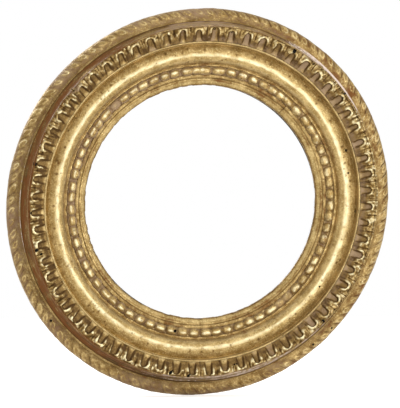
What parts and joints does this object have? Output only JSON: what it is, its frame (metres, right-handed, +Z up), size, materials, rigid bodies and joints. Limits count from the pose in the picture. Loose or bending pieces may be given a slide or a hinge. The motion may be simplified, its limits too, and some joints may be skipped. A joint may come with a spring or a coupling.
{
  "type": "round photo frame",
  "caption": "Round gilded wooden photo frame carved with a band of leaf tips, a plain torus and a string of pearls, with glass, turn buttons and a hanging ring on the back.",
  "frame": {"origin": "on the ring's axis, in the flat of the back at the mouth of the picture rebate", "axes": "+X right and +Z up as seen from the front, +Y out of the back towards the wall, so the front faces -Y"},
  "size_m": [0.25, 0.0324, 0.25],
  "materials": {
    "gilded_back_ring": "bare aged wood at the back, worn gilding over red clay on the carved rim",
    "gilded_moulding": "worn water gilding over red clay and chalk ground",
    "gilded_leaves": "worn gilding with grime in the hollows",
    "gilded_pearls": "worn gilding, rubbed on the crowns",
    "picture_glass": "clear sheet glass",
    "gummed_paper": "brown gummed paper, matt",
    "button_brass": "tarnished pressed brass",
    "screw_steel": "dull steel with brown oxide",
    "hanger_brass": "tarnished sheet brass",
    "ring_brass": "tarnished brass wire"
  },
  "bodies": {
    "frame": {"back_ring_1": "gilded_back_ring", "back_ring_2": "gilded_back_ring", "back_ring_3": "gilded_back_ring", "back_ring_4": "gilded_back_ring", "front_ring_1": "gilded_moulding", "front_ring_2": "gilded_moulding", "front_ring_3": "gilded_moulding", "front_ring_4": "gilded_moulding", "leaf_band_1": "gilded_leaves", "leaf_band_2": "gilded_leaves", "leaf_band_3": "gilded_leaves", "leaf_band_4": "gilded_leaves", "pearl_string_1": "gilded_pearls", "pearl_string_2": "gilded_pearls", "pearl_string_3": "gilded_pearls", "pearl_string_4": "gilded_pearls", "glass_pane": "picture_glass", "glass_tape": "gummed_paper", "button_screws": "screw_steel", "hanger_plate": "hanger_brass", "hanger_screws": "screw_steel"},
    "hanging_ring": {"hanging_ring": "ring_brass"},
    "turn_button_1": {"turn_button_1": "button_brass"},
    "turn_button_2": {"turn_button_2": "button_brass"},
    "turn_button_3": {"turn_button_3": "button_brass"},
    "turn_button_4": {"turn_button_4": "button_brass"}
  },
  "joints": [
    {"name": "turn_button_1_spin", "type": "hinge", "parent": "frame", "child": "turn_button_1", "pos_m": [0.06435, 0.0007, 0.06435], "axis": [0, 1, 0], "continuous": true},
    {"name": "turn_button_2_spin", "type": "hinge", "parent": "frame", "child": "turn_button_2", "pos_m": [-0.06435, 0.0007, 0.06435], "axis": [0, 1, 0], "continuous": true},
    {"name": "turn_button_3_spin", "type": "hinge", "parent": "frame", "child": "turn_button_3", "pos_m": [-0.06435, 0.0007, -0.06435], "axis": [0, 1, 0], "continuous": true},
    {"name": "turn_button_4_spin", "type": "hinge", "parent": "frame", "child": "turn_button_4", "pos_m": [0.06435, 0.0007, -0.06435], "axis": [0, 1, 0], "continuous": true},
    {"name": "hanging_ring_swing", "type": "hinge", "parent": "frame", "child": "hanging_ring", "pos_m": [0, 0.00218, 0.097], "axis": [1, 0, 0], "range_deg": [0, 180]}
  ]
}
